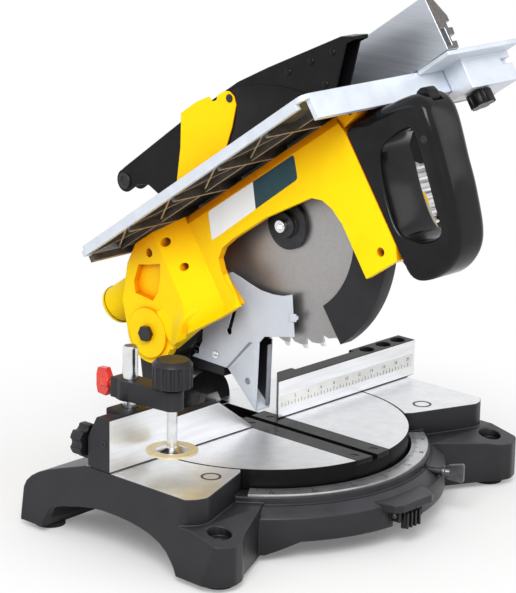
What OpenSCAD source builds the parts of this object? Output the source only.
// Table mitre saw: a chop head with a saw table on top, on a rotary mitre base.
// Millimetres, Z up. Origin on the rotary table's axis at the bench, X along the fence, Y to the back.

/* [Base] */
// height of the machined tops above the bench
table_z = 80; // [74:1:90]
// half distance between the bench bolts, along the fence
bolt_x = 203; // [199:1:207]
// distance of the bench bolts ahead of the table's axis
bolt_y = 131; // [129:1:134]
// rear end of the legs behind the table's axis
leg_y = 113; // [110:1:120]
// bench bolt hole diameter
bolt_d = 10; // [8:0.5:11]
// radius of the front skirt
skirt_r = 184; // [182:1:188]
// height of the ledge that carries the mitre scale
ledge_z = 60; // [57:1:62]
// thickness of the mitre scale
scale_t = 2; // [1:0.5:3]
// height of the foot pads
pad_h = 6; // [4:1:7]

/* [Rotary table] */
// radius of the rotary table
table_r = 145.5; // [144:0.5:146]
// thickness of the kerf strips
strip_t = 5; // [4:0.5:6]
// half width over both kerf strips
strip_half = 24.2; // [22:0.1:26]
// radius of the centre bolt
centre_r = 10; // [8:0.5:12]

/* [Fence] */
// plane of the fence face
face_y = -4; // [-6:0.5:-3]
// height of the right fence above the table
fence_h = 40; // [36:1:44]
// height of the left fence block above the table
block_h = 53; // [50:1:56]

/* [Clamp] */
// post position along the fence
post_x = -176; // [-178:1:-174]
// post position behind the fence face
post_y = 15; // [14:0.5:16]
// post radius
post_r = 7.5; // [6.5:0.5:8]
// height of the post's top
post_top = 194; // [185:1:196]
// spindle radius
spindle_r = 5; // [4:0.5:6]

/* [Tilt bracket] */
// head pivot behind the table's axis
pivot_y = 111; // [110:0.5:112]
// head pivot above the bench
pivot_z = 162; // [160:0.5:164]
// radius of the head pivot bolt
pivot_r = 6; // [5:0.5:7]
// radius of the bevel shaft
bevel_r = 10; // [8:0.5:11]

/* [Head] */
// tilt of the head at rest; lowering by this makes the saw table level
head_tilt = 34; // [32:0.5:35]
// blade axis ahead of the pivot, along the saw table
axis_u = 189.6; // [188:0.2:191]
// blade axis above the pivot, square to the saw table
axis_v = 28.9; // [28:0.2:30]
// height of the casting's top above the pivot
head_top = 86; // [85.5:0.1:87]
// half width of the head casting
head_half = 34; // [33:0.5:36]
// wall thickness of the head casting
head_wall = 8; // [6:0.5:9]

/* [Blade] */
// blade radius
blade_r = 125; // [122:0.5:125.5]
// blade thickness
blade_t = 2.8; // [2.2:0.1:3]
// number of teeth
teeth = 32; // [24:1:40]
// flange radius
flange_r = 25; // [22:0.5:27]
// radius of the arbor shoulder in the blade's bore
bore_r = 15; // [12:0.5:15]

/* [Saw table] */
// height of the saw table's top above the pivot
top_v = 100; // [99:0.5:102]
// thickness of the saw table's plate
plate_t = 5; // [4:0.5:6]
// left edge of the saw table
table_left = -109; // [-112:1:-106]
// right edge of the saw table
table_right = 160; // [150:1:170]
// front of the saw table ahead of the pivot
table_front = 367; // [365:1:369]
// plane of the rip fence's face
rip_x = 55; // [50:1:60]
// height of the rip fence
rip_h = 57; // [50:1:60]

/* [Handle] */
// half width of the handle
handle_half = 24; // [22:0.5:26]
// radius of the trigger pin
trigger_pin_r = 3; // [2.5:0.25:3.5]

/* [Motor] */
// radius over the motor's ribs
motor_r = 55; // [50:0.5:56]
// number of ribs
ribs = 28; // [20:1:36]

/* [Fits] */
// radial clearance of pins and shafts
fit = 0.05; // [0.02:0.01:0.08]
// clearance of sliding faces
slip = 0.4; // [0.3:0.1:0.6]

/* [Hidden] */
$fn = 48;
bt = blade_t / 2;
pad_r = 15;
ear_top = 54;
foot_at = [[-bolt_x, -bolt_y], [-207, leg_y - 17]];
bore_in = table_r + 1.5;
scale_in = bore_in + 2;
scale_out = bore_in + 18.5;
strip_front = table_r - 13.5;
blade_gap = 4;
knife_u = axis_u - blade_r - blade_gap;
nose_u = axis_u + blade_r + 8.4;
floor_top = 36;
floor_low = 24;
post_z = table_z - 16;
arm_low = 141;
arm_top = 161;
spin_x = post_x + 5;
spin_y = post_y - 52;
knob_z = 164;
lock_a = -65;
lock_z = 50;
lock_r = 4;
lever_y = -skirt_r - 4;
lever_z = 33;
trunnion_r = 36;
lug_r = 32;
screw_r = 4;
lug_in = 46;
lug_out = 56;
lug_face = lug_out + 3;
guard_r = blade_r + 5;
eye_u = 8.6;
eye_v = 160.6;
eye_r = 4;
hood = 11;
rivet_at = [[194, 166.5]];
rib_low = head_top;
grip_u = nose_u + 8;
trig_u = grip_u + 73;
trig_v = 30;
lock_back = grip_u + 73;
lock_front = grip_u + 100;
lock_low = 50;
rip_z = top_v + 1.5;
knob_x = 112;
knob_u = 380;

// Mirrors its children to both sides of the saw.
module both() {
  children();
  mirror([1, 0, 0]) children();
}

// Places parts drawn in the head's frame (level saw table, pivot at zero) at the rest tilt.
module head() {
  translate([0, pivot_y, pivot_z]) rotate([-head_tilt, 0, 0]) children();
}

// Extrudes a profile of (forward, up) points across X.
module side(x0, x1) {
  translate([x1, 0, 0]) rotate([90, 0, -90]) linear_extrude(x1 - x0) children();
}

// A cylinder along X at (forward, up).
module xcyl(u, v, x0, x1, r, f = 48) {
  translate([x0, -u, v]) rotate([0, 90, 0]) cylinder(r = r, h = x1 - x0, $fn = f);
}

// A cylinder along Y.
module ycyl(x, z, y0, y1, r, f = 48) {
  translate([x, y1, z]) rotate([90, 0, 0]) cylinder(r = r, h = y1 - y0, $fn = f);
}

// A box between two corners.
module block(a, b) {
  translate(a) cube(b - a);
}

// Side view (back, up) of a left wing and its rear leg: hump, rear foot, arch and front wall.
module side_view() {
  polygon([[leg_y, pad_h], [leg_y, 39], [leg_y - 3, 46], [leg_y - 9, 52], [leg_y - 18, 57.5],
    [leg_y - 33, 64], [leg_y - 53, 70.5],
    [leg_y - 71, 76], [29, table_z], [-170, table_z], [-170, pad_h], [-101, pad_h], [-98, 13],
      [-94, 19], [-87, 26], [-77, 32],
    [-63, 37], [-50, 39.6], [-36, 41.5], [-20, 42.5], [0, 42.7], [16, 41.5], [33, 38.5], [56, 33],
      [66, 29.5], [72, 26],
    [76, 20], [leg_y - 33, 8], [leg_y - 33, pad_h]]);
}

// Plan of a left wing and its rear leg; the table's bore trims its inner side.
module wing_plan(inset = 0) {
  offset(delta = -inset) offset(r = 12, $fn = 32) offset(delta = -12)
    polygon([[-100, 34], [-140, 34], [-150, 74], [-178, leg_y], [-240, leg_y], [-240, -70],
      [-229, -92], [-220.5, -104], [-211, -112], [-201, -114.5], [-128, -87], [-100, -60]]);
}

// Plan of a left front ear.
module ear_plan() {
  offset(r = 12, $fn = 32) offset(delta = -12)
    polygon([[-229, -60], [-231, -bolt_y - 6], [-224, -bolt_y - 20], [-208, -bolt_y - 26],
      [-194, -bolt_y - 22], [-182, -bolt_y - 13], [-138, -bolt_y + 10], [-116, -bolt_y + 22], [-116, -60]]);
}

// Space outside the drafted side wall of a left wing.
module draft() {
  translate([-232, 0, pad_h]) rotate([0, 8.5, 0]) translate([-100, -400, -50]) cube([100, 800, 300]);
}

module base_casting() {
  color([0.13, 0.13, 0.14]) difference() {
    union() {
      translate([0, 0, 20]) cylinder(r = skirt_r, h = 24, $fn = 96);
      translate([0, 0, 44]) cylinder(r1 = skirt_r, r2 = scale_out + 5.5, h = 8, $fn = 96);
      translate([0, 0, 52]) cylinder(r = scale_out + 2.5, h = ledge_z - 52, $fn = 96);
      both() {
        difference() {
          intersection() {
            translate([-260, 0, 0]) rotate([90, 0, 90]) linear_extrude(160) side_view();
            union() {
              linear_extrude(table_z) wing_plan();
              linear_extrude(ear_top) ear_plan();
            }
          }
          draft();
          // sloped top of the ear
          translate([-300, -117, ear_top]) rotate([13, 0, 0]) translate([0, -100, 0]) cube([250, 100, 60]);
        }
        // skirt's foot beside the ear
        difference() {
          intersection() {
            translate([0, 0, pad_h + 1]) cylinder(r = skirt_r, h = 20, $fn = 96);
            linear_extrude(60) polygon([[-190, -140], [-100, -160], [-96, -110], [-126, -95], [-150, -80],
              [-190, -80]]);
          }
          translate([-134, -300, pad_h + 1]) rotate([0, -27, 0]) translate([0, 0, -60]) cube([120, 300, 60]);
        }
      }
      // hood over the detent lever
      translate([0, 0, 40]) linear_extrude(8)
        polygon([[-34, lever_y + 18], [-28, lever_y - 9], [-20, lever_y - 13], [22, lever_y - 13],
          [30, lever_y - 9], [38, lever_y + 18]]);
      for (s = [-1, 1])
        block([s * 16 - 2, lever_y - 6, lever_z - 6], [s * 16 + 2, lever_y + 8, 42]);
    }
    // bore for the rotary table
    translate([0, 0, floor_top]) cylinder(r = bore_in, h = 100, $fn = 96);
    // hollow below the floor
    translate([0, 0, -1]) cylinder(r = skirt_r - 26, h = floor_low + 1, $fn = 96);
    both() {
      // hollow in the wing
      difference() {
        translate([6, 0, -1]) linear_extrude(table_z - 7) intersection() {
          wing_plan(9);
          translate([-222, -100]) square([200, 125]);
        }
        translate([0, 0, floor_low]) cylinder(r = bore_in + 7, h = 100, $fn = 96);
        translate([post_x, post_y, 0]) cylinder(r = 14, h = 100);
      }
      // hollow in the rear leg
      intersection() {
        translate([-221, 0, 0]) rotate([90, 0, 90]) linear_extrude(70)
          polygon([[20, -1], [leg_y - 35, -1], [leg_y - 35, 54], [leg_y - 58, 60], [leg_y - 78, 66],
            [20, 70]]);
        translate([0, 0, -2]) linear_extrude(100) wing_plan(9);
      }
      // bench bolt hole and foot seats
      translate([-bolt_x, -bolt_y, -1]) cylinder(d = bolt_d, h = 100);
      translate([-bolt_x, -bolt_y, ear_top - 11]) cylinder(r = 11.5, h = 60);
      for (q = foot_at)
        translate([q[0], q[1], -1]) cylinder(r = pad_r + slip, h = pad_h + 1.5);
    }
    // recess under the hood for the detent lever
    block([-14, lever_y - 12, 18], [14, lever_y + 16, 40]);
    xcyl(-lever_y, lever_z, -19, 19, 2.5 + fit);
    // socket of the clamp post
    translate([post_x, post_y, post_z]) cylinder(r = post_r + fit, h = 60);
    // centre bolt and its nut
    translate([0, 0, floor_low - 1]) cylinder(r = centre_r + fit, h = 40);
    // mitre lock screw
    rotate([0, 0, lock_a]) translate([bore_in - 4, 0, lock_z]) rotate([0, 90, 0])
      cylinder(r = lock_r + fit, h = skirt_r - bore_in + 24);
  }
}

module rubber_feet() {
  color([0.08, 0.08, 0.08]) both() {
    difference() {
      translate([foot_at[0][0], foot_at[0][1], 0]) cylinder(r = pad_r, h = pad_h + 0.5);
      translate([-bolt_x, -bolt_y, -1]) cylinder(d = bolt_d, h = 20);
    }
    translate([foot_at[1][0], foot_at[1][1], 0]) cylinder(r = pad_r, h = pad_h + 0.5);
  }
}

module mitre_scale() {
  color([0.72, 0.73, 0.74]) translate([0, 0, ledge_z]) linear_extrude(scale_t) intersection() {
    difference() {
      circle(r = scale_out, $fn = 96);
      circle(r = scale_in, $fn = 96);
    }
    polygon([[0, 0], [-200, -152], [-200, -300], [200, -300], [200, -152]]);
  }
}

module fence_left() {
  top = table_z + block_h;
  color([0.76, 0.77, 0.78]) difference() {
    union() {
      // face plate with the dip and the bevel cut
      translate([0, face_y + 12, 0]) rotate([90, 0, 0]) linear_extrude(12)
        polygon([[-222, table_z + slip], [-222, top], [-150, top], [-138, table_z + 37],
          [-72, table_z + 38],
          [-24, table_z + 3], [-22, table_z + slip]]);
      // foot along the back
      block([-222, face_y + 11, table_z + slip], [-92, 22, table_z + 16]);
      // seat on the wing
      block([-220, face_y + 2, table_z], [-156, 22, table_z + 1]);
      // block around the post
      block([-196, face_y + 11, table_z + 1], [-156, 28, top]);
      // end block for the knob
      translate([-204, 0, 0]) rotate([90, 0, -90]) linear_extrude(18)
        polygon([[-26, table_z + 1], [-26, table_z + 30], [-14, top], [-face_y - 12, top],
          [-face_y - 12, table_z + 1]]);
    }
    translate([post_x, post_y, table_z - 10]) cylinder(r = post_r + fit, h = 100);
    ycyl(-212, table_z + 22, face_y + 6, 40, 4 + fit);
  }
}

module fence_right() {
  top = table_z + fence_h;
  color([0.76, 0.77, 0.78]) difference() {
    union() {
      translate([0, 0, table_z + slip]) linear_extrude(fence_h - slip)
        polygon([[-face_y + 10, face_y], [232, face_y], [232, 20], [-face_y + 34, 20]]);
      block([156, face_y + 2, table_z], [226, 22, table_z + 1]);
    }
    // sloping back
    translate([60, 0, 0]) rotate([90, 0, 90]) linear_extrude(90)
      polygon([[14, top + 1], [14, top - 6], [21, table_z + 12], [30, table_z + 12], [30, top + 1]]);
    for (x = [166, 193, 217])
      translate([x, 8, top - 18]) cylinder(r = 8, h = 30);
    ycyl(180, table_z + 20, face_y + 10, 40, 3 + fit);
  }
}

// A lobed knob along +Z from z 0, with a stem below.
module lobed(r, h, lobes, stem_r, stem) {
  difference() {
    cylinder(r = r, h = h);
    for (i = [0 : lobes - 1])
      rotate([0, 0, i * 360 / lobes]) translate([r * 1.12, 0, -1]) cylinder(r = r * 0.3, h = h + 2,
        $fn = 24);
  }
  translate([0, 0, -stem]) cylinder(r = stem_r, h = stem + 0.5);
}

module fence_knob_left() {
  color([0.09, 0.09, 0.1]) translate([-212, 30, table_z + 22]) rotate([-90, 0, 0]) lobed(17, 14, 6, 4, 22);
}

module fence_knob_right() {
  color([0.09, 0.09, 0.1]) translate([180, 22.5, table_z + 20]) rotate([-90, 0, 0]) lobed(10, 12, 6, 3, 12);
}

module clamp_post() {
  color([0.8, 0.81, 0.82]) {
    translate([post_x, post_y, post_z]) cylinder(r = post_r, h = post_top - 1.5 - post_z);
    translate([post_x, post_y, post_top - 1.5]) cylinder(r1 = post_r, r2 = post_r - 1.5, h = 1.5);
  }
}

module clamp_arm() {
  color([0.14, 0.14, 0.15]) difference() {
    union() {
      translate([post_x, post_y, arm_low]) cylinder(r = 13, h = arm_top - arm_low);
      translate([spin_x, spin_y, arm_low]) cylinder(r = 11, h = arm_top - arm_low);
      translate([0, 0, arm_low]) linear_extrude(arm_top - arm_low)
        polygon([[post_x - 12, post_y + 8], [post_x + 12, post_y + 8], [spin_x + 11, spin_y],
          [spin_x - 11, spin_y]]);
      block([post_x - 10, post_y + 5, arm_low], [post_x + 10, post_y + 18, arm_top]);
    }
    translate([post_x, post_y, 0]) cylinder(r = post_r + fit, h = 300);
    translate([spin_x, spin_y, 0]) cylinder(r = spindle_r + fit, h = 300);
    ycyl(post_x, 151, post_y, post_y + 40, 3 + fit);
  }
}

module clamp_wing() {
  color([0.85, 0.12, 0.1]) {
    ycyl(post_x, 151, post_y + post_r + 0.6, post_y + 27, 3);
    ycyl(post_x, 151, post_y + 26, post_y + 36, 6);
    translate([post_x, 0, 0]) side(-3.5, 3.5)
      polygon([[-post_y - 27, 145], [-post_y - 31, 137], [-post_y - 42, 138], [-post_y - 44, 145],
        [-post_y - 44, 157],
        [-post_y - 42, 164], [-post_y - 31, 165], [-post_y - 27, 157]]);
  }
}

module clamp_spindle() {
  color([0.8, 0.81, 0.82]) translate([spin_x, spin_y, 104]) cylinder(r = spindle_r, h = knob_z + 20 - 104);
}

module clamp_knob() {
  color([0.09, 0.09, 0.1]) translate([spin_x, spin_y, knob_z]) difference() {
    union() {
      cylinder(r = 19.5, h = 22.5);
      translate([0, 0, 22.5]) cylinder(r1 = 19.5, r2 = 15.5, h = 4);
    }
    for (i = [0 : 15])
      rotate([0, 0, i * 22.5]) translate([21.5, 0, -1]) cylinder(r = 3, h = 22, $fn = 16);
    translate([0, 0, -1]) cylinder(r = spindle_r + fit, h = 21 + fit);
  }
}

module clamp_foot() {
  color([0.8, 0.81, 0.82]) translate([spin_x, spin_y, 101]) {
    cylinder(r1 = 16, r2 = 7, h = 3);
  }
}

module clamp_pad() {
  color([0.82, 0.72, 0.48]) translate([spin_x, spin_y, 99]) cylinder(r = 25, h = 2);
}

module mitre_lock() {
  color([0.35, 0.36, 0.38]) rotate([0, 0, lock_a]) translate([0, 0, lock_z]) {
    translate([bore_in + 2, 0, 0]) rotate([0, 90, 0]) cylinder(r = lock_r, h = skirt_r - bore_in + 8);
    translate([skirt_r + 1, 0, 0]) rotate([0, 90, 0]) cylinder(r = lock_r + 2, h = 4);
    // wing
    translate([skirt_r + 4, 2.5, 0]) rotate([90, 0, 0]) linear_extrude(5)
      offset(r = 2, $fn = 24) offset(delta = -2)
        polygon([[0, -5], [5, -7.5], [20, -10], [20, 10], [5, 7.5], [0, 5]]);
  }
}

module detent_lever() {
  color([0.1, 0.1, 0.11]) difference() {
    union() {
      block([-12, lever_y - 7, 20], [12, lever_y - 3, 38]);
      xcyl(-lever_y, lever_z, -12, 12, 5.5);
      block([-12, lever_y - 5, lever_z - 3], [12, lever_y + 12, lever_z + 3]);
      for (x = [-9, -3, 3, 9])
        block([x - 1.3, lever_y - 10, 20], [x + 1.3, lever_y - 5, 36]);
    }
    xcyl(-lever_y, lever_z, -30, 30, 2.5 + fit);
  }
}

module detent_pin() {
  color([0.6, 0.61, 0.62]) xcyl(-lever_y, lever_z, -18, 18, 2.5, 24);
}

module rotary_table() {
  color([0.16, 0.16, 0.17]) difference() {
    union() {
      intersection() {
        translate([0, 0, 46]) cylinder(r = table_r, h = table_z - 46, $fn = 96);
        block([-200, -200, 0], [200, 98, 200]);
      }
      translate([0, 0, floor_top + slip]) cylinder(r = 26, h = 20);
      intersection() {
        ycyl(0, table_z, 84, 98, trunnion_r);
        block([-100, 0, 46], [100, 200, 200]);
      }
    }
    // seats of the kerf strips
    block([-strip_half - 0.3, -200, table_z - strip_t], [strip_half + 0.3, 24, table_z + 1]);
    // channel under the blade
    block([-8, -table_r + 7.5, 58], [16, 68, table_z + 1]);
    ycyl(0, table_z, 70, 120, bevel_r + fit);
    translate([0, 0, 20]) cylinder(r = centre_r + fit, h = 36);
    // room for the bevel shaft's head
    block([-20, 70, 62], [20, 84, 120]);
    for (x = [-14, 14], y = [-strip_front, 6])
      translate([x, y, 60]) cylinder(r = 2 + fit, h = 30);
  }
}

module kerf(x0, x1) {
  difference() {
    intersection() {
      block([x0, -200, table_z - strip_t], [x1, 23.5, table_z]);
      cylinder(r = table_r, h = 100, $fn = 96);
    }
    for (y = [-strip_front, 6])
      translate([x0 < 0 ? -14 : 14, y, 0]) {
        cylinder(r = 2 + fit, h = 100);
        translate([0, 0, table_z - 2.5]) cylinder(r = 4.2, h = 10);
      }
  }
}

module kerf_left() {
  color([0.1, 0.1, 0.1]) kerf(-strip_half, -2.6);
}

module kerf_right() {
  color([0.1, 0.1, 0.1]) kerf(4.6, strip_half);
}

module strip_screws() {
  color([0.35, 0.35, 0.36]) for (x = [-14, 14], y = [-strip_front, 6])
    translate([x, y, 0]) difference() {
      union() {
        translate([0, 0, 63]) cylinder(r = 2, h = table_z - 2.5 - 63 + 0.1, $fn = 24);
        translate([0, 0, table_z - 2.5]) cylinder(r = 4, h = 2, $fn = 24);
      }
      block([-3, -0.5, table_z - 1.4], [3, 0.5, table_z]);
    }
}

module centre_bolt() {
  color([0.6, 0.61, 0.62]) translate([0, 0, 12]) cylinder(r = centre_r, h = 43);
}

module centre_nut() {
  color([0.6, 0.61, 0.62]) difference() {
    translate([0, 0, 14]) cylinder(r = 19, h = floor_low - 14 - slip, $fn = 6);
    cylinder(r = centre_r + fit, h = 60);
  }
}

module tilt_bracket() {
  color([0.11, 0.11, 0.12]) difference() {
    union() {
      xcyl(-pivot_y, pivot_z, -45, 45, 29);
      ycyl(0, table_z, 99, 139, trunnion_r);
      translate([0, 139, 0]) rotate([90, 0, 0]) linear_extrude(40)
        polygon([[-trunnion_r, table_z], [trunnion_r, table_z], [45, pivot_z], [-45, pivot_z]]);
      block([-9, 50, table_z + trunnion_r + 2.5], [9, 100, 150]);
      block([-9, 80, 118.5], [9, 111, 160]);
    }
    xcyl(-pivot_y, pivot_z, -60, 60, pivot_r + fit);
    ycyl(0, table_z, 60, 200, bevel_r + fit);
    for (y = [60, 86])
      xcyl(-y, 140, -20, 0, 2 + fit);
  }
}

module bevel_shaft() {
  color([0.6, 0.61, 0.62]) {
    ycyl(0, table_z, 76, 148, bevel_r);
    ycyl(0, table_z, 75, 83.6, 15, 6);
  }
}

module bevel_nut() {
  color([0.6, 0.61, 0.62]) difference() {
    ycyl(0, table_z, 139, 147, 16, 6);
    ycyl(0, table_z, 100, 200, bevel_r + fit);
  }
}

module rear_guard() {
  color([0.74, 0.77, 0.82]) difference() {
    union() {
      side(-10.5, -9) polygon([[-94, 131], [-43, 129], [-4, 92], [-1, 165], [6, 173], [46, 181],
        [42, 224], [30, 220],
        [16, 219], [0, 220], [-14, 223.5], [-28, 228], [-40, 231], [-60, 222], [-79, 170], [-80, 150],
          [-88, 137]]);
      side(9, 10.5) polygon([[-94, 131], [-43, 129], [-4, 92], [-1, 165], [-20, 172], [-79, 160],
        [-80, 150],
        [-88, 137]]);
      side(-10.5, 10.5) polygon([[-43, 129], [-4, 92], [-4, 94.2], [-42.5, 130.6]]);
    }
    for (y = [60, 86])
      xcyl(-y, 140, -20, 0, 2 + fit);
    // keyhole slot
    side(-12, -8) polygon([[-38, 192], [-33, 191.5], [-40, 169], [-45, 170]]);
    xcyl(-35.5, 191.5, -12, -8, 2.5, 24);
    xcyl(-42.5, 168.5, -12, -8, 3.6, 24);
  }
}

module guard_screws() {
  color([0.7, 0.71, 0.72]) for (y = [60, 86])
    difference() {
      union() {
        xcyl(-y, 140, -10.6, -1, 2, 24);
        xcyl(-y, 140, -12.3, -10.5, 4.2, 24);
      }
      block([-13, y - 3, 139.6], [-11.6, y + 3, 140.4]);
    }
}

// Outline of the head casting's left wall, with the opening over the blade.
module wall_left() {
  polygon([[90, head_top], [grip_u - 5, head_top], [grip_u, 68], [grip_u, -50], [grip_u - 6, -63], [281, -63],
    [281, -6], [277, 12],
    [270, 24], [258, 32], [192, 40], [140, 40], [122, 38], [111, 31], [108, 20], [108, 5], [114, -20],
      [90, -20.5]]);
}

// Outline of the head casting's right wall.
module wall_right() {
  polygon([[90, head_top], [grip_u - 5, head_top], [grip_u, 68], [grip_u, -50], [grip_u - 6, -63], [281, -63],
    [270, -20], [240, -30],
    [140, -30], [114, -20], [90, -20.5]]);
}

// Outline of a rear lug arm.
module arm_plan() {
  polygon([[62, head_top], [33, head_top], [11, 74], [-18, 44], [-31, 8], [0, 0], [20, -28], [62, -23]]);
  circle(r = lug_r);
}

// Seat of the riving knife.
module knife_seat() {
  polygon([[knife_u - 17.6, 58], [knife_u + 0.4, 58], [knife_u + 0.4, head_top - 6],
    [knife_u - 17.6, head_top - 6]]);
}

module head_casting() {
  hw = head_half - head_wall;
  color([1, 0.8, 0]) head() difference() {
    union() {
      side(-head_half, -hw) wall_left();
      side(hw, head_half) wall_right();
      // top and front walls
      side(-hw, hw) polygon([[90, head_top - 7], [nose_u - 3, head_top - 7], [nose_u, 66],
        [nose_u, -50], [nose_u - 6, -63], [grip_u - 6, -63], [grip_u, -50], [grip_u, 68],
        [grip_u - 5, head_top], [90, head_top]]);
      // rear lugs
      both() side(-lug_out, -lug_in) arm_plan();
      both() xcyl(0, 0, -lug_face, -lug_in, 26, 64);
      both() hull() {
        side(-lug_out, -lug_in) polygon([[58, head_top], [62, head_top], [62, -23], [58, -23]]);
        side(-head_half, -hw) polygon([[90, head_top], [93, head_top], [93, -20.4], [90, -20.4]]);
      }
      // rear wall and top
      side(-lug_in, lug_in) polygon([[11, 74], [-18, 44], [-12, 40], [18, 70], [36, head_top - 7],
        [62, head_top - 7],
        [62, head_top], [33, head_top]]);
      side(-40, 40) polygon([[60, head_top - 7], [80, head_top - 7], [80, head_top], [60, head_top]]);
      side(-hw, hw) polygon([[78, head_top - 7], [92, head_top - 7], [92, head_top], [78, head_top]]);
      // spindle boss and motor flange
      xcyl(axis_u, axis_v, 4.8, head_half, lug_r, 64);
      xcyl(axis_u, axis_v, head_half - 1, head_half + 6, 52, 64);
      // seat of the riving knife
      side(1.25, hw + 1) knife_seat();
      side(hw - 1, lug_in + 1) knife_seat();
      // lugs under the saw table's front
      both() side(-31, -15) polygon([[grip_u - 9, 70], [grip_u + 9, 74], [table_front - 15, 77],
        [table_front - 15, head_top], [grip_u - 11, head_top]]);
    }
    // slot over the blade
    block([-6, -nose_u + 15, 60], [1.25, -knife_u + 22.6, 100]);
    block([-6, -nose_u + 15, 60], [6, -knife_u - 1.4, 100]);
    xcyl(0, 0, -80, 80, pivot_r + fit);
    xcyl(axis_u, axis_v, 0, 80, 12 + fit);
    translate([0, -knife_u + 20.6, 56]) rotate([-90, 0, 0]) cylinder(r = 20 + fit, h = 100);
    // holes seen in the left side
    xcyl(46, 70, -70, -30, 4.5);
    xcyl(69, 71, -70, -20, 4.5);
    xcyl(75, 40, -70, -20, 4);
    xcyl(grip_u - 20, -48, -50, -20, 4.5);
    both() xcyl(table_front - 23, 81.5, -50, 0, 2.5);
    for (u = [knife_u - 13.6, knife_u - 3.6])
      xcyl(u, 68, -10, 20, 2 + fit);
    // pocket at the rear
    side(-60, -lug_in - 3) polygon([[25, 66], [37, 60.5], [54, 54], [46, 42], [34, 30], [23, 26],
      [4, 43], [9, 54]]);
    // sloped top edge under the saw table
    translate([0, -92, 0]) rotate([90, 0, 0]) linear_extrude(400)
      polygon([[-head_half - 1, head_top - 8], [-head_half, head_top - 8], [-head_half + 4, head_top],
        [-head_half + 4, head_top + 1], [-head_half - 1, head_top + 1]]);
  }
}

module pivot_bolt() {
  color([0.12, 0.12, 0.13]) head() {
    xcyl(0, 0, -lug_face - 0.5, lug_face + 8, pivot_r);
    xcyl(0, 0, -lug_face - 5.5, -lug_face, pivot_r + 2.5, 6);
  }
}

module pivot_nut() {
  color([0.12, 0.12, 0.13]) head() difference() {
    xcyl(0, 0, lug_face, lug_face + 7, pivot_r + 4, 6);
    xcyl(0, 0, 0, 100, pivot_r + fit);
  }
}

module chip_port() {
  color([1, 0.8, 0]) head() translate([0, -12, 56]) rotate([-90, 0, 0]) difference() {
    union() {
      cylinder(r = 20, h = 100);
      translate([0, 0, 96]) cylinder(r = 21, h = 4);
    }
    translate([0, 0, -1]) cylinder(r = 17, h = 200);
  }
}

module saw_table() {
  low = top_v - plate_t;
  color([0.82, 0.84, 0.86]) head() difference() {
    union() {
      // plate
      translate([0, 0, low]) linear_extrude(plate_t) offset(r = 10, $fn = 32) offset(delta = -10)
        polygon([[table_left, -10], [table_right, -10], [table_right, -table_front],
          [table_left, -table_front]]);
      // side rims
      block([table_left, -table_front + 12, low - 5], [table_left + 5, -12, low + 1]);
      block([table_right - 5, -table_front + 12, low - 5], [table_right, -12, low + 1]);
      // rear rim and front apron
      block([table_left + 8, -16, low - 12], [-36, -10, low + 1]);
      block([36, -16, low - 12], [table_right - 8, -10, low + 1]);
      block([-40, -16, low - 5], [40, -10, low + 1]);
      block([table_left + 9, -table_front, 75], [table_right - 9, -table_front + 6, low + 1]);
      // cross ribs
      for (u = [84, 157, 230, 303])
        block([table_left + 4, -u - 1.5, rib_low], [table_right - 4, -u + 1.5, low + 1]);
      // long ribs
      for (x = [-60, 100])
        block([x - 1.5, -table_front + 4, rib_low + 2], [x + 1.5, -14, low + 1]);
      // crossed braces
      for (i = [0 : 3], k = [-1, 1])
        translate([-84, -48 - 73 * i, rib_low + 4]) rotate([0, 0, k * 57])
          translate([-38, -1, 0]) cube([76, 2, low - rib_low - 3]);
    }
    // slot over the blade
    block([-6, -nose_u + 15, 50], [6, -knife_u + 22.6, 200]);
  }
}

module riving_knife() {
  color([0.1, 0.1, 0.1]) head() side(-1.25, 1.25) difference() {
    union() {
      polygon([[knife_u - 17.6, 58], [knife_u + 20, 58], [knife_u + 40, 118], [96, 118], [70, 140],
        [30, 163], [eye_u + 4, eye_v + 7], [eye_u - 4, eye_v - 7], [30, 146], [40, 132],
        [knife_u - 17.6, 100]]);
      translate([eye_u, eye_v]) circle(r = 8);
    }
    translate([axis_u, axis_v]) circle(r = blade_r + blade_gap, $fn = 96);
    translate([eye_u, eye_v]) circle(r = eye_r + fit);
    for (u = [knife_u - 13.6, knife_u - 3.6])
      translate([u, 68]) circle(r = 2 + fit, $fn = 24);
  }
}

module knife_screws() {
  color([0.6, 0.61, 0.62]) head() for (u = [knife_u - 13.6, knife_u - 3.6]) {
    xcyl(u, 68, -1.3, 12, 2, 24);
    xcyl(u, 68, -4, -1.25, 4, 24);
  }
}

// Outer outline of the handle, ahead of the casting's front.
module grip_out() {
  translate([grip_u, 0]) {
    offset(r = 10, $fn = 32) offset(delta = -10)
      polygon([[0, 68], [12, 70.5], [29, 72], [45, 71], [66, 69], [81, 65.5], [88, 60], [92, 50],
        [91, 36], [87, 17], [82, -4], [77, -27], [71, -47], [63, -68], [55, -81], [44, -89], [29, -94],
        [14, -93.5], [5, -89], [0, -80]]);
    translate([0, -72]) square([14, 136]);
  }
}

// Opening of the handle.
module grip_in() {
  translate([grip_u, 0]) offset(r = 7, $fn = 32) offset(delta = -7)
    polygon([[28, 41], [63, 41.5], [67, 34], [65, 20], [58, -12], [53, -35], [50, -56], [44, -62],
      [32, -62], [20, -57], [11, -48], [7.5, -40], [7, -28], [10, -8], [14, 10], [20, 28]]);
}

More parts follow.
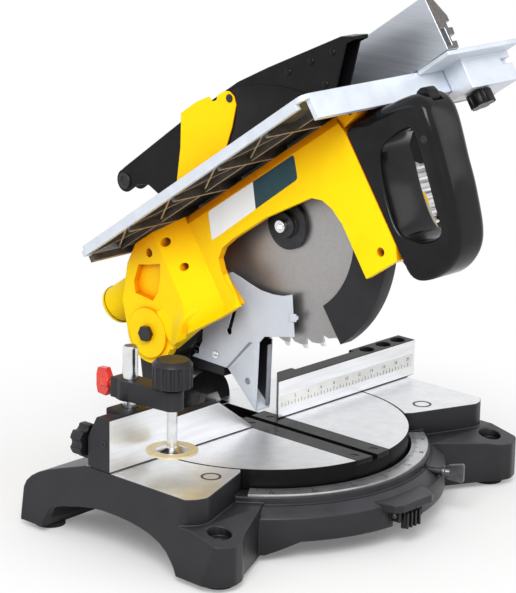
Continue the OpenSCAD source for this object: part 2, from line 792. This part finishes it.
module handle() {
  h = handle_half;
  color([0.09, 0.09, 0.1]) head() difference() {
    union() {
      // layers that round the edges: depth from the side, inset of the outline
      for (k = [[9, 0], [5, 1.2], [2.2, 3.2], [0.6, 6], [0, 8]])
        side(-h + k[0], h - k[0]) difference() {
          offset(delta = -k[1]) grip_out();
          offset(delta = k[1] * 0.8) grip_in();
        }
      // root as wide as the head casting
      intersection() {
        side(-head_half, head_half) difference() {
          grip_out();
          grip_in();
        }
        translate([0, 0, -150]) linear_extrude(300)
          polygon([[-head_half, -grip_u], [-head_half + 2, -grip_u - 3], [-h + 1, -grip_u - 13],
            [h - 1, -grip_u - 13], [head_half - 2, -grip_u - 3], [head_half, -grip_u]]);
      }
    }
    // pocket of the lock button
    block([-7 - slip, -lock_front - 9, lock_low - 3.5], [7 + slip, -lock_back + slip, 100]);
    // pocket of the trigger
    block([-9.5, -trig_u - 8.5, 3], [9.5, -trig_u + 24, 47]);
    xcyl(trig_u, trig_v, -handle_half + 2 - fit, handle_half - 2 + fit, trigger_pin_r + fit, 32);
  }
}

module trigger() {
  color([0.07, 0.07, 0.08]) head() side(-8.5, 8.5) translate([trig_u, trig_v]) difference() {
    polygon([[-32, -16], [-27, -21], [-16, -23.5], [-4, -22], [7, -8], [7, 6], [-7, 12], [-20, 8],
      [-29, 0]]);
    circle(r = trigger_pin_r + fit, $fn = 32);
  }
}

module trigger_pin() {
  color([0.2, 0.2, 0.21]) head() xcyl(trig_u, trig_v, -handle_half + 2, handle_half - 2, trigger_pin_r, 32);
}

module top_lever() {
  color([0.09, 0.09, 0.1]) head() side(-7, 7)
    polygon([[lock_back, lock_low], [lock_back, 65], [lock_back + 4, 68.5], [lock_back + 14, 70],
      [lock_front - 4, 66],
      [lock_front, 59], [lock_front - 4, 53], [lock_front - 11, lock_low]]);
}

module motor_body() {
  color([0.75, 0.76, 0.77]) head() {
    xcyl(axis_u, axis_v, head_half + 6, 170, 49, 64);
    translate([head_half + 8, -axis_u, axis_v]) rotate([0, 90,
      0]) linear_extrude(160 - head_half) for (i = [0 : ribs - 1])
      rotate([0, 0, i * 360 / ribs]) translate([48, -1.6]) square([motor_r - 48, 3.2]);
  }
}

module motor_cap() {
  color([0.12, 0.12, 0.13]) head() {
    xcyl(axis_u, axis_v, 170, 182, 53, 64);
    translate([182, -axis_u, axis_v]) rotate([0, 90, 0]) cylinder(r1 = 53, r2 = 44, h = 7, $fn = 64);
  }
}

module motor_fitting() {
  color([0.9, 0.75, 0.05]) head() translate([112, -axis_u - motor_r + 0.6, axis_v - 24]) rotate([90, 0,
    0]) difference() {
    cylinder(r = 13, h = 14);
    translate([0, 0, 8]) difference() {
      cylinder(r = 20, h = 3);
      cylinder(r = 11.5, h = 3);
    }
  }
}

module arbor() {
  color([0.6, 0.61, 0.62]) head() difference() {
    union() {
      xcyl(axis_u, axis_v, -bt - 2, bt + 3, bore_r);
      xcyl(axis_u, axis_v, bt + 2, head_half + 5, 12);
    }
    xcyl(axis_u, axis_v, -20, 22, screw_r + fit);
  }
}

module inner_flange() {
  color([0.15, 0.15, 0.16]) head() difference() {
    xcyl(axis_u, axis_v, bt, bt + 3, flange_r);
    xcyl(axis_u, axis_v, -20, 22, bore_r + fit);
  }
}

module outer_flange() {
  color([0.12, 0.12, 0.13]) head() difference() {
    union() {
      xcyl(axis_u, axis_v, -bt - 5.5, -bt, flange_r);
      xcyl(axis_u, axis_v, -bt - 10.5, -bt - 5, 13);
    }
    xcyl(axis_u, axis_v, -bt - 2 - fit, 10, bore_r + fit);
    xcyl(axis_u, axis_v, -30, 10, screw_r + fit);
  }
}

module arbor_bolt() {
  color([0.82, 0.83, 0.84]) head() difference() {
    union() {
      xcyl(axis_u, axis_v, -bt - 10.6, 20, screw_r);
      xcyl(axis_u, axis_v, -bt - 16, -bt - 10.5, screw_r + 2.3);
    }
    xcyl(axis_u, axis_v, -bt - 18, -bt - 13, screw_r - 1, 6);
  }
}

// Points of one tooth: radius and angle, from its face to the next gullet.
function tooth(i) = let (p = 360 / teeth, a = i * p)
  [for (q = [[blade_r, 0], [blade_r - 0.8, 0.12], [blade_r - 4, 0.24], [blade_r - 6, 0.62],
    [blade_r - 10.5, 0.86],
      [blade_r - 11, 0.95]])
    [q[0] * cos(a - q[1] * p), q[0] * sin(a - q[1] * p)]];

module blade() {
  color([0.75, 0.76, 0.77]) head() translate([0, -axis_u, axis_v]) side(-bt, bt) difference() {
    polygon([for (i = [0 : teeth - 1]) each tooth(-i)]);
    circle(r = bore_r + fit, $fn = 64);
    for (a = [20, 110, 200, 290])
      rotate([0, 0, a]) translate([blade_r * 0.72, 0]) circle(r = 2, $fn = 24);
  }
}

// A wedge from one angle to another, for the lower guard.
module wedge(a0, a1) {
  m = (a0 + a1) / 2;
  polygon([[0, 0], [220 * cos(a0), 220 * sin(a0)], [220 * cos(m), 220 * sin(m)],
    [220 * cos(a1), 220 * sin(a1)]]);
}

module lower_guard() {
  color([0.1, 0.1, 0.11]) head() translate([0, -axis_u, axis_v]) {
    side(-8, -6) intersection() {
      difference() { circle(r = guard_r, $fn = 96); circle(r = blade_r - 37, $fn = 96); }
      wedge(-89, -36);
    }
    side(-8, 8) intersection() {
      difference() { circle(r = guard_r, $fn = 96); circle(r = guard_r - 2.2, $fn = 96); }
      wedge(-89, -36);
    }
    side(5.4, 8) difference() {
      union() {
        intersection() {
          circle(r = guard_r, $fn = 96);
          wedge(-89, -36);
        }
        circle(r = lug_r + 9, $fn = 64);
      }
      circle(r = lug_r + fit, $fn = 64);
    }
  }
}

// Outline of the upper guard's cheeks.
module hood_plan() {
  polygon([[4, 171.5], [15, 173], [118, 177], [211, 176], [255, 170], [355, 153], [369, 146],
    [367, 143], [357, 144],
    [321, 112], [318, 104], [52, 104], [46, 128], [38, 142], [24, 149], [eye_u, eye_v - 12]]);
  translate([eye_u, eye_v]) circle(r = 12);
}

module upper_guard() {
  color([0.09, 0.09, 0.1]) head() difference() {
    union() {
      side(-hood, -hood + 2) hood_plan();
      side(hood - 2, hood) hood_plan();
      side(-hood, hood) polygon([[15, 173], [118, 177], [211, 176], [255, 170], [355, 153],
        [369, 146], [366, 143.5],
        [354, 150], [254.5, 167], [211, 173], [118, 174], [15, 170]]);
    }
    xcyl(eye_u, eye_v, -20, 20, eye_r + fit);
    for (p = rivet_at)
      xcyl(p[0], p[1], -20, 0, 3 + fit, 24);
  }
}

module guard_pin() {
  color([0.2, 0.2, 0.21]) head() xcyl(eye_u, eye_v, -hood - 1, hood + 1, eye_r);
}

module side_plate() {
  color([1, 0.85, 0]) head() difference() {
    side(-hood - 2, -hood) polygon([[66, 104], [81, 129], [104, 155], [118, 175], [124, 184], [150, 184],
      [168, 180.8], [170, 174.5], [176, 173], [180, 176.5], [191, 176], [197, 172.5], [200, 166],
      [198, 157], [180, 140], [165, 129], [152, 114], [148, 104]]);
    for (p = rivet_at)
      xcyl(p[0], p[1], -20, 0, 3 + fit, 24);
  }
}

module plate_rivets() {
  color([0.15, 0.15, 0.16]) head() for (p = rivet_at) {
    xcyl(p[0], p[1], -hood - 2, -hood + 3, 3, 24);
    xcyl(p[0], p[1], -hood - 3.2, -hood - 2, 4, 24);
  }
}

module rip_fence() {
  z = rip_z;
  color([0.66, 0.67, 0.7]) head() translate([0, -413, 0]) rotate([-90, 0, 0])
    linear_extrude(350) difference() {
    polygon([[rip_x, -z], [rip_x, -z - rip_h], [rip_x + 9, -z - rip_h], [rip_x + 21, -z - rip_h + 23],
      [rip_x + 21, -z - 20], [rip_x + 17, -z]]);
    translate([rip_x + 15, -z - 28]) square([8, 6]);
    translate([rip_x + 12, -z - 14]) square([12, 6]);
    translate([rip_x + 3, -z - 22]) square([6, 18]);
  }
}

module rip_carriage() {
  color([0.85, 0.87, 0.9]) head() difference() {
    union() {
      block([rip_x + 1, -411, rip_z - 5], [165, -table_front - slip, rip_z]);
      block([92, -393, 66], [165, -table_front - slip, rip_z - 4]);
      block([92, -393, 66], [165, -table_front + 12, 75 - slip]);
    }
    translate([knob_x, -knob_u, 0]) cylinder(r = 4 + fit, h = 82);
    block([150, -400, 84], [170, -386, 90]);
  }
}

module rip_knob() {
  color([0.09, 0.09, 0.1]) head() translate([knob_x, -knob_u, 64.5]) rotate([180, 0, 0])
    lobed(13, 14, 6, 4, 16);
}

base_casting();
rubber_feet();
mitre_scale();
fence_left();
fence_right();
fence_knob_left();
fence_knob_right();
clamp_post();
clamp_arm();
clamp_wing();
clamp_spindle();
clamp_knob();
clamp_foot();
clamp_pad();
mitre_lock();
detent_lever();
detent_pin();
rotary_table();
kerf_left();
kerf_right();
strip_screws();
centre_bolt();
centre_nut();
tilt_bracket();
bevel_shaft();
bevel_nut();
rear_guard();
guard_screws();
head_casting();
pivot_bolt();
pivot_nut();
chip_port();
saw_table();
riving_knife();
knife_screws();
handle();
trigger();
trigger_pin();
top_lever();
motor_body();
motor_cap();
motor_fitting();
arbor();
inner_flange();
outer_flange();
arbor_bolt();
blade();
lower_guard();
upper_guard();
guard_pin();
side_plate();
plate_rivets();
rip_fence();
rip_carriage();
rip_knob();
